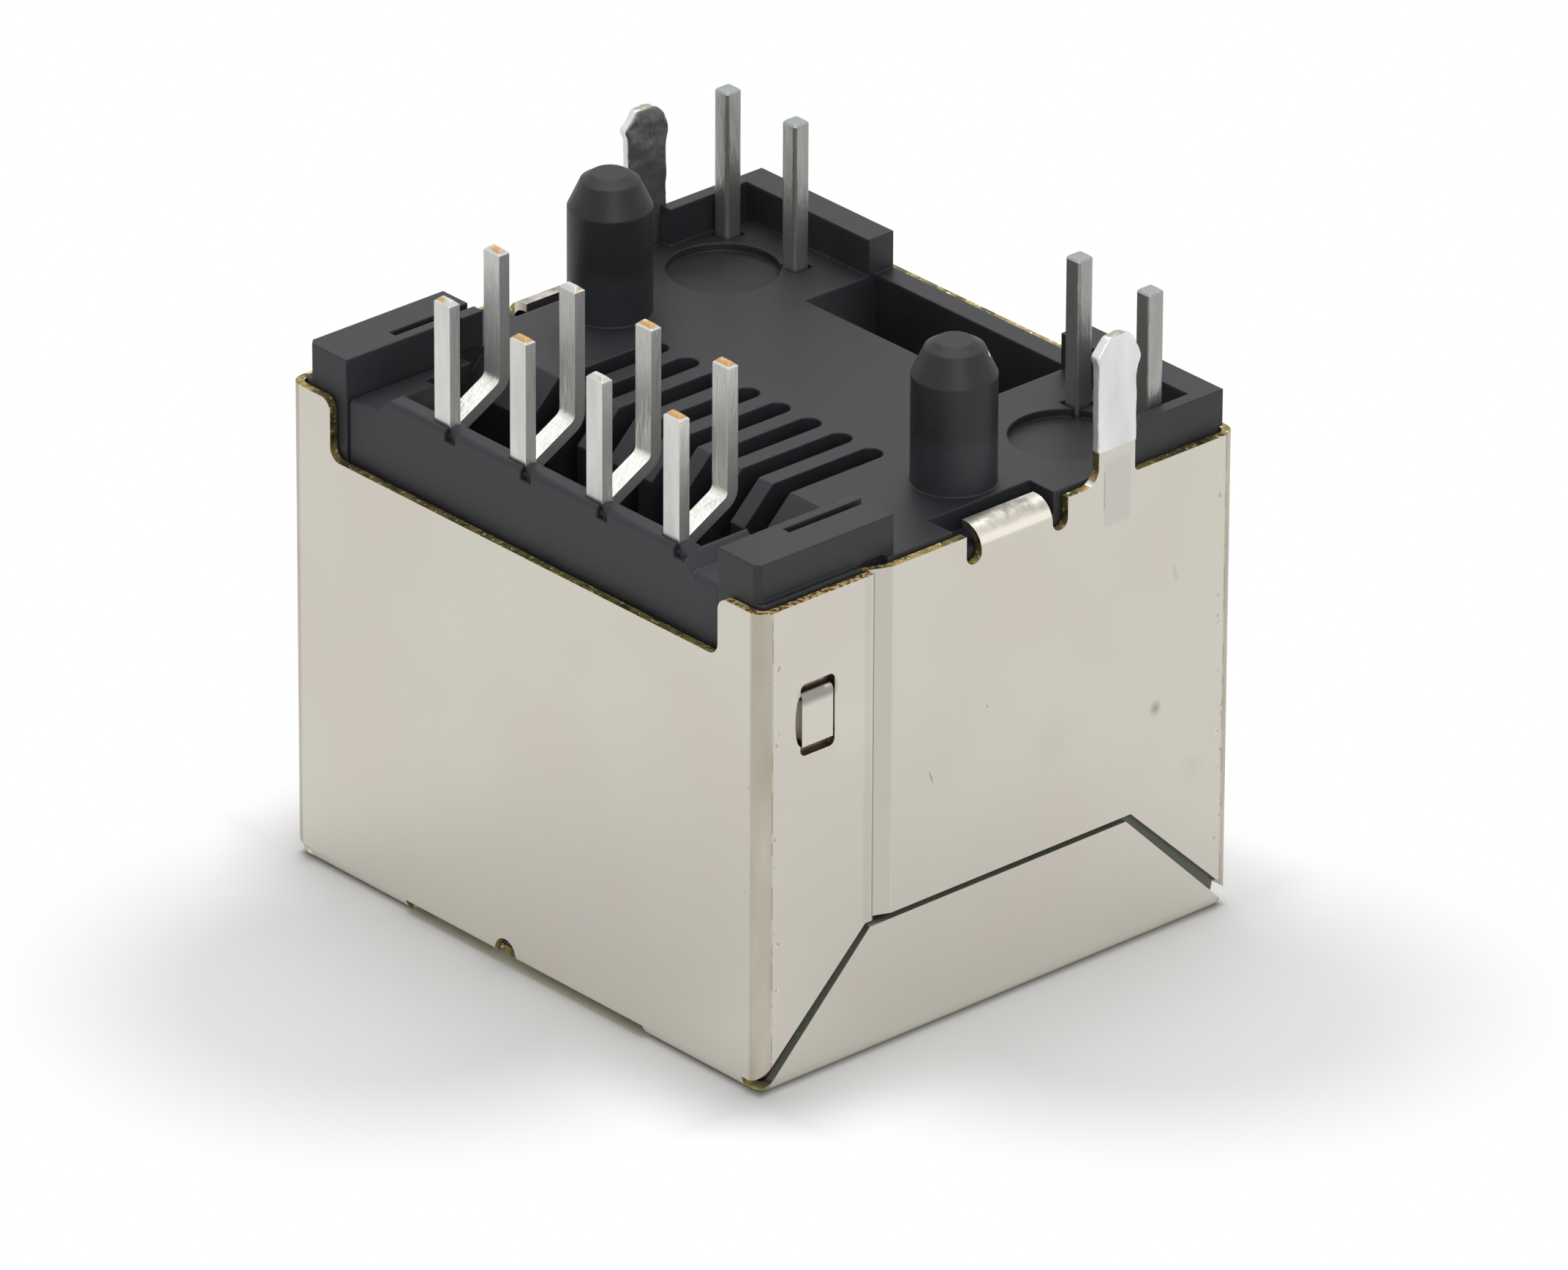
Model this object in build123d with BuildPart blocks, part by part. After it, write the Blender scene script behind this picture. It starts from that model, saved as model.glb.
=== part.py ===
from build123d import *
import math
import os

os.makedirs("parts", exist_ok=True)

# Shielded RJ45 jack for a circuit board, in millimetres.
# It stands on its shield's top panel with the board side up:
# +Z points to the board, +Y out of the plug port, and X runs across the eight contacts.

# Shield: one folded sheet
sheet = 0.2
shield_width = 15.8
shield_depth = 14.1
fold_radius = 0.4
fit_gap = 0.05

# Side flaps folded up from the top panel, with the gap left round them
flap_height = 3.18
flap_inset = 0.05
flap_slope = 45
flap_top_gap = 0.14
flap_side_gap = 0.2
flap_foot_gap = 0.3

# Rear panel ears that lock over the tails of the side panels
ear_length = 3.3
joggle_length = 0.55
joggle_overlap = 0.1
tail_gap = 0.02
tail_short = 0.6
lock_window_length = 1.0
lock_window_height = 1.75
lock_window_y = 1.65
lock_window_drop = 2.88
lock_window_radius = 0.15
lock_window_bulge = 0.15
lock_window_bulge_reach = 0.6
lug_clearance = 0.05
lug_gap = 0.22
lug_round = 0.18

# Cut-outs of the rear panel
rear_cut_side = 1.425
rear_cut_depth = 1.45
rear_cut_radius = 0.3
fold_slot_length = 8.0
fold_slot_height = 0.3
fold_notch_radius = 0.35
fold_notch_x = -0.6

# Tabs on the side panels' board edges
solder_tab_width = 1.08
solder_tab_y = 3.4
solder_tab_root = 0.4
solder_tab_corner = 0.12
hook_tab_width = 2.1
hook_tab_y = 0.45
hook_tab_rise = 0.05
hook_radius = 0.55
hook_reach = 0.1
relief_width = 0.45
relief_depth = 0.5

# Plug port, measured as a plug needs it
port_width = 11.8
port_height = 6.75
port_floor = 2.0
port_depth = 9.4
latch_wide = 6.3
latch_wide_height = 1.0
latch_narrow = 4.0
latch_narrow_height = 0.55
latch_roof = 1.5
latch_window_width = 6.4
latch_window_length = 2.1
latch_wall = 0.55
port_lead_in = 0.25
shield_port_margin = 0.15

# Ground springs folded from the shield into the port
spring_height = 2.4
spring_length = 3.4
spring_neck = 0.85
spring_crest = 2.27
spring_bow = 0.42
spring_room = 0.6
spring_clearance = 0.1

# Housing: deck on the board side, stand-offs at its corners, pegs
deck_rise = 0.1
stand_off = 0.9
rear_block_length = 3.95
rear_block_inset = 0.15
rear_block_chamfer = 0.14
block_slot_width = 0.22
block_slot_length = 2.3
block_slot_depth = 0.35
block_slot_inset = 0.25
front_rim_length = 3.05
front_rim_width = 4.45
front_rim_front = 0.75
front_rim_side = 0.32
hook_notch_depth = 0.8
hook_notch_drop = 0.55
hook_notch_rear = 0.65
hook_notch_front = 0.25
housing_floor = 0.45
ejector_radius = 1.3
ejector_depth = 0.2
ejector_side_inset = 1.95
ejector_front_inset = 2.9
peg_spacing = 11.43
peg_radius = 0.97
peg_tip_radius = 0.6
peg_taper = 0.8
peg_tip_chamfer = 0.18
peg_y = 0.54
tail_length = 2.5

# Comb between the springs, and the ramp down from the deck behind it
contact_count = 8
contact_pitch = 1.02
comb_slot = 0.57
comb_thickness = 0.85
comb_sill = 1.45
deck_slot_length = 2.9
deck_slot_depth = 1.7
ramp_drop = 0.87

# Contact strips and pin rows
strip = 0.3
spring_strip_width = 0.42
pin_width = 0.52
pin_pitch = 1.27
row_spacing = 2.54
bend_radius = 0.35
pin_point = 0.1
front_bend_rise = 0.15
rear_bend_rise = 0.3
neck_foot_drop = 0.6
jog_drop = 2.0
jog_length = 1.4
strip_depth = 0.4
hairpin_front = 3.58
hairpin_radius = 0.5
hairpin_room = 0.65
spring_angle = 21.6
spring_end_gap = 0.45

# Carrier that holds the contacts
carrier_width = 12.3
carrier_rear_inset = 0.3
carrier_rise = 0.4
carrier_shoulder_drop = 0.05
carrier_crown = 10.6
carrier_crown_slope = 0.5
carrier_wall = 0.42
pit_floor_drop = 1.0
pit_inset = 1.2
rear_row_inset = 0.3
run_inset = 1.45
groove_cover = 0.45
groove_gap = 0.03
tongue_width = 9.3
tongue_drop = 0.2
tongue_nose = 2.3
rail_width = 0.35
pin_slot_drop = 0.4
pin_notch_start = 0.24
pin_notch_width = 0.36
pin_notch_drop = 0.3
carrier_edge = 0.14

# Lights in the two front corners
led_width = 2.9
led_height = 2.05
led_depth = 2.45
led_wall = 0.36
led_roof = 0.45
led_pocket_gap = 0.05
lead_pitch = 2.29
lead_size = 0.46
lead_inset = 1.62
lead_length = 2.7
lead_seat = 0.9
lead_hole = 0.58
lead_round = 0.09
lens_crown = 0.12

# Places that follow from the sizes above
port_top = port_floor + port_height
latch_top = port_top + latch_wide_height + latch_narrow_height
shield_height = latch_top + latch_roof
half_width = shield_width / 2
half_depth = shield_depth / 2
inner_side = half_width - sheet
inner_front = half_depth - sheet
housing_side = inner_side - fit_gap
housing_front = inner_front - fit_gap
housing_base = sheet + fit_gap
deck = shield_height + deck_rise
seat = deck + stand_off
tip = seat + tail_length
ear_edge = -half_depth + ear_length
tail_side = inner_side - tail_gap
tail_end = -half_depth + tail_short
spring_z = port_floor + port_height / 2
cavity_end = housing_front - port_depth
comb_back = cavity_end - comb_thickness
window_front = housing_front - latch_wall
window_back = window_front - latch_window_length
carrier_back = -(half_depth - carrier_rear_inset)
rear_row = carrier_back + rear_row_inset
front_row = rear_row + row_spacing
run_y = carrier_back + run_inset
carrier_face = run_y + groove_cover
lead_y = housing_front - lead_inset
led_center_x = housing_side - led_wall - led_width / 2
led_base = deck - led_roof - led_height

bay_side = carrier_width / 2 + fit_gap
bay_floor = housing_base + housing_floor
carrier_foot = bay_floor + groove_gap
carrier_top = deck + carrier_rise
carrier_shoulder = deck - carrier_shoulder_drop
tongue_top = port_floor - tongue_drop
strip_floor = tongue_top - strip_depth
jog_top = deck - jog_drop
jog_bottom = jog_top - jog_length
neck_foot = deck - neck_foot_drop
pit_floor = deck - pit_floor_drop
hairpin_half_turn = math.radians(spring_angle) / 2
hairpin_corner = hairpin_front - hairpin_radius + hairpin_radius / math.tan(hairpin_half_turn)
spring_end_y = cavity_end - spring_end_gap
spring_end_z = strip_floor + (hairpin_corner - spring_end_y) * math.tan(2 * hairpin_half_turn)


def across(y):
    """Upright plane across the jack at depth y, drawn in X and Z, extruding to the rear."""
    return Plane.XZ.offset(-y)


def beside(x):
    """Upright plane along the jack at x, drawn in Y and Z, extruding towards +X."""
    return Plane.YZ.offset(x)


def span(low, high):
    """Rectangle between two opposite corners of the current sketch."""
    with Locations(((low[0] + high[0]) / 2, (low[1] + high[1]) / 2)):
        Rectangle(high[0] - low[0], high[1] - low[1])


def save(builder, label):
    """Names a finished piece and writes it."""
    builder.part.label = label
    export_step(builder.part, f"parts/{label}.step")


def contact_x(index, pitch):
    """Place of one contact across the jack, counted from the middle of the row."""
    return (index - (contact_count - 1) / 2) * pitch


def rounded_can(width, depth, low, high, radius):
    """Closed block with rounded upright and lower edges, as a folded box has outside or inside."""
    with BuildPart() as can:
        with BuildSketch(Plane.XY.offset(low)):
            Rectangle(width, depth)
        extrude(amount=high - low)
        fillet(can.edges().filter_by(Axis.Z), radius)
        fillet(can.faces().sort_by(Axis.Z)[0].edges(), radius)
    return can.part


def outline(*points, mode=Mode.ADD):
    """Closed straight-sided face through points given in the sketch's own coordinates."""
    Polygon(*points, align=None, mode=mode)


def flap_points(grow_foot, grow_side, grow_top):
    """Trapezoid of a side flap in Y and Z, grown by its gaps."""
    rise = flap_height + grow_top
    slope = math.radians(flap_slope)
    foot = half_depth - flap_inset + grow_foot / math.sin(slope)
    head = half_depth - flap_inset + grow_side / math.sin(slope) - rise / math.tan(slope)
    return (-foot, 0), (-head, rise), (head, rise), (foot, 0)


def side_panel_points(end):
    """Plan of the near side panel's thickness: flush panel, joggle and the tail under the ear."""
    bend_end = ear_edge + joggle_length
    lean = sheet / 4
    return (
        (half_width, bend_end + joggle_length),
        (half_width, bend_end),
        (tail_side, ear_edge),
        (tail_side, end),
        (tail_side - sheet, end),
        (tail_side - sheet, ear_edge - lean),
        (inner_side, bend_end - lean),
        (inner_side, bend_end + joggle_length),
    )


# Shield
shield_outside = rounded_can(shield_width, shield_depth, 0, shield_height, fold_radius)
shield_inside = rounded_can(
    shield_width - 2 * sheet, shield_depth - 2 * sheet, sheet, shield_height + sheet, fold_radius - sheet
)
flap_clear_top = flap_height + flap_top_gap
tail_top = shield_height - relief_depth
window_center_y = -half_depth + lock_window_y
window_center_z = shield_height - lock_window_drop
hook_crest = shield_height + hook_tab_rise
hook_start = hook_crest - hook_radius
port_side = port_width / 2 + shield_port_margin

with BuildPart() as shield:
    add(shield_outside)
    add(shield_inside, mode=Mode.SUBTRACT)
    # gap between the side flaps and the panels around them, open at the bottom corners
    with BuildSketch(beside(inner_side - fold_radius)):
        outline(*flap_points(flap_foot_gap, flap_side_gap, flap_top_gap))
        outline(*flap_points(0, 0, 0), mode=Mode.SUBTRACT)
    extrude(amount=fold_radius + 2 * sheet, mode=Mode.SUBTRACT)
    # front panel: plug port with its latch steps, and openings for the lights
    with BuildSketch(across(half_depth + sheet)):
        span((-port_side, port_floor - shield_port_margin), (port_side, port_top + shield_port_margin))
        wide_side = latch_wide / 2 + shield_port_margin
        wide_top = port_top + latch_wide_height + shield_port_margin
        span((-wide_side, port_top), (wide_side, wide_top))
        narrow_side = latch_narrow / 2 + shield_port_margin
        span((-narrow_side, port_top), (narrow_side, latch_top + shield_port_margin))
        led_opening = led_width / 2 + led_pocket_gap
        span(
            (led_center_x - led_opening, led_base - led_pocket_gap),
            (led_center_x + led_opening, led_base + led_height + led_pocket_gap),
        )
    extrude(amount=3 * sheet, mode=Mode.SUBTRACT)
    # joggle between ear and side panel
    with BuildSketch(Plane.XY.offset(flap_clear_top)):
        span((inner_side - sheet, ear_edge), (half_width + sheet, ear_edge + joggle_length))
    extrude(amount=shield_height, mode=Mode.SUBTRACT)
    # locking window in the ear
    with BuildSketch(beside(inner_side - sheet)):
        with Locations((window_center_y, window_center_z)):
            RectangleRounded(lock_window_length, lock_window_height, lock_window_radius)
        with Locations((window_center_y - lock_window_length / 2, window_center_z)):
            Ellipse(lock_window_bulge, lock_window_bulge_reach)
    extrude(amount=3 * sheet, mode=Mode.SUBTRACT)
    # side panel joggled in under the ear
    with BuildSketch(Plane.XY.offset(flap_clear_top)):
        outline(*side_panel_points(tail_end))
    extrude(amount=tail_top - flap_clear_top)
    with BuildSketch(Plane.XY.offset(flap_clear_top)):
        outline(*side_panel_points(ear_edge - joggle_overlap))
    extrude(amount=shield_height - flap_clear_top)
    # lug that springs into the window
    lug_low = window_center_z - lock_window_height / 2 + lug_gap
    lug_high = window_center_z + lock_window_height / 2 - lug_gap
    with BuildSketch(across(window_center_y + lock_window_length / 2 - lug_clearance)) as lug_face:
        span((tail_side - sheet / 2, lug_low), (half_width, lug_high))
        fillet(lug_face.vertices().sort_by(Axis.X)[-2:].sort_by(Axis.Y)[-1], lug_round)
    extrude(amount=lock_window_length - 2 * lug_clearance)
    # relief notches either side of the tab that is hooked over the housing
    with BuildSketch(beside(inner_side - sheet)):
        for side in (-1, 1):
            notch_y = hook_tab_y + side * (hook_tab_width + relief_width) / 2
            with Locations((notch_y, shield_height - relief_depth / 2)):
                Rectangle(relief_width, relief_depth)
            with Locations((notch_y, shield_height - relief_depth)):
                Circle(relief_width / 2)
        with Locations((hook_tab_y, shield_height)):
            Rectangle(hook_tab_width, 2 * (shield_height - hook_start))
    extrude(amount=3 * sheet, mode=Mode.SUBTRACT)
    # hooked tab
    with BuildSketch(across(hook_tab_y + hook_tab_width / 2)):
        with BuildLine():
            center_x = half_width - hook_radius
            inside = hook_radius - sheet
            end_x = center_x - hook_reach
            Line((half_width, hook_start - sheet), (half_width, hook_start))
            RadiusArc((half_width, hook_start), (center_x, hook_crest), -hook_radius)
            Line((center_x, hook_crest), (end_x, hook_crest))
            Line((end_x, hook_crest), (end_x, hook_crest - sheet))
            Line((end_x, hook_crest - sheet), (center_x, hook_crest - sheet))
            RadiusArc((center_x, hook_crest - sheet), (inner_side, hook_start), inside)
            Line((inner_side, hook_start), (inner_side, hook_start - sheet))
            Line((inner_side, hook_start - sheet), (half_width, hook_start - sheet))
        make_face()
    extrude(amount=hook_tab_width)
    # solder tab with a rounded end
    with BuildSketch(beside(inner_side)):
        with BuildLine():
            left = solder_tab_y - solder_tab_width / 2
            right = solder_tab_y + solder_tab_width / 2
            shoulder = tip - solder_tab_width / 2
            root = left - solder_tab_root
            root_top = shield_height + solder_tab_root
            root_offset = solder_tab_root * math.sqrt(0.5)
            Line((root, shield_height - sheet), (root, shield_height))
            root_middle = (root + root_offset, root_top - root_offset)
            ThreePointArc((root, shield_height), root_middle, (left, root_top))
            Line((left, root_top), (left, shoulder))
            ThreePointArc((left, shoulder), (solder_tab_y, tip), (right, shoulder))
            corner = right + solder_tab_corner
            corner_top = shield_height + solder_tab_corner
            corner_offset = solder_tab_corner * math.sqrt(0.5)
            Line((right, shoulder), (right, corner_top))
            corner_middle = (corner - corner_offset, corner_top - corner_offset)
            ThreePointArc((right, corner_top), corner_middle, (corner, shield_height))
            Line((corner, shield_height), (corner, shield_height - sheet))
            Line((corner, shield_height - sheet), (root, shield_height - sheet))
        make_face()
    extrude(amount=sheet)
    # spring that grounds a shielded plug
    spring_root = half_depth - sheet / 2
    with BuildSketch(Plane.XY.offset(spring_z - spring_height / 2)):
        with BuildLine():
            FilletPolyline(
                (port_side + sheet, spring_root),
                (port_side - sheet, spring_root),
                (port_side - 1.5 * sheet, spring_root - spring_neck),
                (port_width / 2 - spring_bow, spring_root - spring_crest),
                (port_width / 2, spring_root - spring_length),
                radius=sheet,
            )
        trace(line_width=sheet)
    extrude(amount=spring_height)
    # everything so far is on the near side, and the far side is its mirror
    split(bisect_by=Plane.YZ, keep=Keep.TOP)
    mirror(about=Plane.YZ)
    # rear panel: opening for the pins, and the slot and notch in its fold
    with BuildSketch(across(-inner_front + sheet)) as rear_cut:
        half_cut = half_width - rear_cut_side
        cut_floor = shield_height - rear_cut_depth
        span((-half_cut, cut_floor), (half_cut, shield_height))
        span((-half_width + fold_radius, shield_height), (half_width - fold_radius, shield_height + sheet))
        fillet(rear_cut.vertices().group_by(Axis.Y)[0], rear_cut_radius)
        fillet(rear_cut.vertices().group_by(Axis.Y)[-2].sort_by(Axis.X)[1:-1], rear_cut_radius)
    extrude(amount=3 * sheet, mode=Mode.SUBTRACT)
    with BuildSketch(across(-inner_front + fold_radius / 2)):
        span((-fold_slot_length / 2, -sheet), (fold_slot_length / 2, fold_slot_height))
        with Locations((fold_notch_x, fold_slot_height)):
            Circle(fold_notch_radius)
    extrude(amount=fold_radius + sheet, mode=Mode.SUBTRACT)
save(shield, "shield")


# Housing
ramp_foot = deck - ramp_drop
comb_base = port_floor + comb_sill
ejector_place = (housing_side - ejector_side_inset, housing_front - ejector_front_inset)

with BuildPart() as housing:
    with BuildSketch(Plane.XY.offset(housing_base)):
        Rectangle(2 * housing_side, 2 * housing_front)
    extrude(amount=deck - housing_base)
    fillet(housing.edges().filter_by(Axis.Z), fold_radius - sheet)
    fillet(housing.faces().sort_by(Axis.Z)[0].edges(), fold_radius - sheet)
    # rear stand-off: a block beside the carrier's bay, with a chamfered outer corner
    block_side = housing_side - rear_block_inset
    block_front = -housing_front + rear_block_length
    with BuildSketch(Plane.XY.offset(deck)) as block:
        span((bay_side - fit_gap, -housing_front), (block_side, block_front))
        chamfer(block.vertices().sort_by(Axis.Y)[:2].sort_by(Axis.X)[-1], rear_block_chamfer)
    extrude(amount=stand_off)
    with BuildSketch(Plane.XY.offset(seat - block_slot_depth)):
        slot_side = bay_side + block_slot_inset
        span((slot_side, block_front - block_slot_length), (slot_side + block_slot_width, block_front))
    extrude(amount=block_slot_depth, mode=Mode.SUBTRACT)
    # front stand-off: an L round the light's leads
    with BuildSketch(Plane.XY.offset(deck)):
        span(
            (housing_side - front_rim_width, housing_front - front_rim_front),
            (housing_side, housing_front),
        )
        span((housing_side - front_rim_side, housing_front - front_rim_length), (housing_side, housing_front))
    extrude(amount=stand_off)
    # board peg with a tapered tip
    with BuildSketch(Plane.XY.offset(deck)):
        with Locations((peg_spacing / 2, peg_y)):
            Circle(peg_radius)
    extrude(amount=tip - peg_taper - deck)
    with BuildSketch(Plane.XY.offset(tip - peg_taper)):
        with Locations((peg_spacing / 2, peg_y)):
            Circle(peg_radius)
    with BuildSketch(Plane.XY.offset(tip)):
        with Locations((peg_spacing / 2, peg_y)):
            Circle(peg_tip_radius)
    loft()
    chamfer(housing.edges().sort_by(Axis.Z)[-1], peg_tip_chamfer)
    # room for the joggled tail of the side panel
    with BuildSketch(Plane.XY.offset(flap_height - fit_gap)):
        span(
            (tail_side - sheet - fit_gap, -half_depth),
            (half_width, ear_edge + joggle_length + fit_gap),
        )
    extrude(amount=tail_top + 2 * fit_gap - flap_height, mode=Mode.SUBTRACT)
    with BuildSketch(Plane.XY.offset(flap_height - fit_gap)):
        span(
            (tail_side - sheet - fit_gap, ear_edge - joggle_overlap - fit_gap),
            (half_width, ear_edge + joggle_length + fit_gap),
        )
    extrude(amount=deck + fit_gap - flap_height, mode=Mode.SUBTRACT)
    # notch under the hooked tab
    with BuildSketch(Plane.XY.offset(deck - hook_notch_drop)):
        span(
            (housing_side - hook_notch_depth, hook_tab_y - hook_tab_width / 2 - hook_notch_rear),
            (half_width, hook_tab_y + hook_tab_width / 2 + hook_notch_front),
        )
    extrude(amount=stand_off, mode=Mode.SUBTRACT)
    # shallow ejector mark
    with BuildSketch(Plane.XY.offset(deck - ejector_depth)):
        with Locations(ejector_place):
            Circle(ejector_radius)
    extrude(amount=ejector_depth, mode=Mode.SUBTRACT)
    # pocket for the light, open to the front, and the holes for its leads
    with BuildSketch(across(housing_front)):
        span(
            (led_center_x - led_width / 2 - led_pocket_gap, led_base - led_pocket_gap),
            (led_center_x + led_width / 2 + led_pocket_gap, led_base + led_height + led_pocket_gap),
        )
    extrude(amount=led_depth + led_pocket_gap, mode=Mode.SUBTRACT)
    with BuildSketch(Plane.XY.offset(led_base + led_height)):
        for side in (-1, 1):
            with Locations((led_center_x + side * lead_pitch / 2, lead_y)):
                Rectangle(lead_hole, lead_hole)
    extrude(amount=deck - led_base, mode=Mode.SUBTRACT)
    # recess behind the ground spring
    with BuildSketch(across(housing_front)):
        with Locations((port_width / 2, spring_z)):
            Rectangle(2 * spring_room, spring_height + 2 * spring_clearance)
    extrude(amount=spring_length + fit_gap, mode=Mode.SUBTRACT)
    split(bisect_by=Plane.YZ, keep=Keep.TOP)
    mirror(about=Plane.YZ)
    # plug port with its two latch steps
    with BuildSketch(across(housing_front)):
        span((-port_width / 2, port_floor), (port_width / 2, port_top))
    extrude(amount=port_depth, mode=Mode.SUBTRACT)
    with BuildSketch(across(housing_front)):
        span((-latch_wide / 2, port_top), (latch_wide / 2, port_top + latch_wide_height))
    extrude(amount=latch_wall + latch_window_length, mode=Mode.SUBTRACT)
    with BuildSketch(across(housing_front)):
        span((-latch_narrow / 2, port_top), (latch_narrow / 2, latch_top))
    extrude(amount=latch_wall, mode=Mode.SUBTRACT)
    # window that the plug's latch springs into
    with BuildSketch(Plane.XY.offset(port_top)):
        span((-latch_window_width / 2, window_back), (latch_window_width / 2, window_front))
    extrude(amount=seat - port_top, mode=Mode.SUBTRACT)
    # lead-in round the port
    with BuildSketch(across(housing_front)):
        lead_side = port_width / 2 + port_lead_in
        span((-lead_side, port_floor - port_lead_in), (lead_side, port_top))
    with BuildSketch(across(housing_front - port_lead_in)):
        span((-port_width / 2, port_floor), (port_width / 2, port_top))
    loft(mode=Mode.SUBTRACT)
    # bay for the carrier, and the way for its tongue
    with BuildSketch(Plane.XY.offset(bay_floor)):
        span((-bay_side, -half_depth), (bay_side, comb_back))
    extrude(amount=seat - bay_floor + stand_off, mode=Mode.SUBTRACT)
    with BuildSketch(Plane.XY.offset(bay_floor)):
        tongue_side = tongue_width / 2 + fit_gap
        way_front = hairpin_front + strip / 2 + hairpin_room
        span((-tongue_side, comb_back), (tongue_side, way_front))
    extrude(amount=port_floor - bay_floor, mode=Mode.SUBTRACT)
    # ramp from the deck down to the back of the comb
    with BuildSketch(beside(-bay_side)):
        outline(
            (cavity_end, deck),
            (comb_back - fit_gap, ramp_foot),
            (comb_back - fit_gap, deck + fit_gap),
            (cavity_end, deck + fit_gap),
        )
    extrude(amount=2 * bay_side, mode=Mode.SUBTRACT)
    # comb slots through the wall behind the port, and their runs along the deck
    for index in range(contact_count):
        slot_x = contact_x(index, contact_pitch)
        slot_front = cavity_end + deck_slot_length
        with BuildSketch(Plane.XY.offset(comb_base)):
            span(
                (slot_x - comb_slot / 2, comb_back - fit_gap),
                (slot_x + comb_slot / 2, cavity_end + fit_gap),
            )
        extrude(amount=deck - comb_base + fit_gap, mode=Mode.SUBTRACT)
        with BuildSketch(Plane.XY.offset(deck - deck_slot_depth)):
            span(
                (slot_x - comb_slot / 2, comb_back - fit_gap),
                (slot_x + comb_slot / 2, slot_front - comb_slot / 2),
            )
            with Locations((slot_x, slot_front - comb_slot / 2)):
                Circle(comb_slot / 2)
        extrude(amount=deck_slot_depth + fit_gap, mode=Mode.SUBTRACT)
save(housing, "housing")


# Contacts: even ones end in the front row of pins, odd ones in the rear row
def run_points(index, top, grow):
    """Face view of a contact's upright run, which jogs from the spring pitch to the pin pitch."""
    spring_half = spring_strip_width / 2 + grow
    pin_half = pin_width / 2 + grow
    low_x = contact_x(index, contact_pitch)
    high_x = contact_x(index, pin_pitch)
    return (
        (low_x - spring_half, strip_floor - strip / 2 - grow),
        (low_x - spring_half, jog_bottom),
        (high_x - pin_half, jog_top),
        (high_x - pin_half, top),
        (high_x + pin_half, top),
        (high_x + pin_half, jog_top),
        (low_x + spring_half, jog_bottom),
        (low_x + spring_half, strip_floor - strip / 2 - grow),
    )


for index in range(contact_count):
    in_front_row = index % 2 == 0
    row_y = front_row if in_front_row else rear_row
    bend_z = deck + (front_bend_rise if in_front_row else rear_bend_rise)
    pin_x = contact_x(index, pin_pitch)
    spring_x = contact_x(index, contact_pitch)
    with BuildPart() as contact:
        # pin, slanted neck and the top of the run
        with BuildSketch(beside(pin_x - pin_width / 2)):
            with BuildLine():
                FilletPolyline(
                    (row_y, tip),
                    (row_y, bend_z),
                    (run_y, neck_foot),
                    (run_y, jog_top),
                    radius=bend_radius,
                )
            trace(line_width=strip)
        extrude(amount=pin_width)
        chamfer(contact.faces().sort_by(Axis.Z)[-1].edges(), pin_point)
        # lower run, tongue and hairpin spring
        with BuildSketch(beside(spring_x - spring_strip_width / 2)):
            with BuildLine():
                FilletPolyline(
                    (run_y, jog_bottom),
                    (run_y, strip_floor),
                    (hairpin_corner, strip_floor),
                    (spring_end_y, spring_end_z),
                    radius=[bend_radius, hairpin_radius],
                )
            trace(line_width=strip)
        extrude(amount=spring_strip_width)
        # jog between the two pitches, in the plane of the strip
        spring_half = spring_strip_width / 2
        pin_half = pin_width / 2
        with BuildSketch(across(run_y + strip / 2)):
            outline(
                (spring_x - spring_half, jog_bottom),
                (pin_x - pin_half, jog_top),
                (pin_x + pin_half, jog_top),
                (spring_x + spring_half, jog_bottom),
            )
        extrude(amount=strip)
    save(contact, f"contact_{index + 1}")


# Carrier: thin rear wall and a pit in front of it, rails at the sides and a tongue under the port
groove_back = run_y - strip / 2 - groove_gap
tongue_slot = spring_strip_width / 2 + groove_gap
rail_length = comb_back - fit_gap - carrier_face

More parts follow.
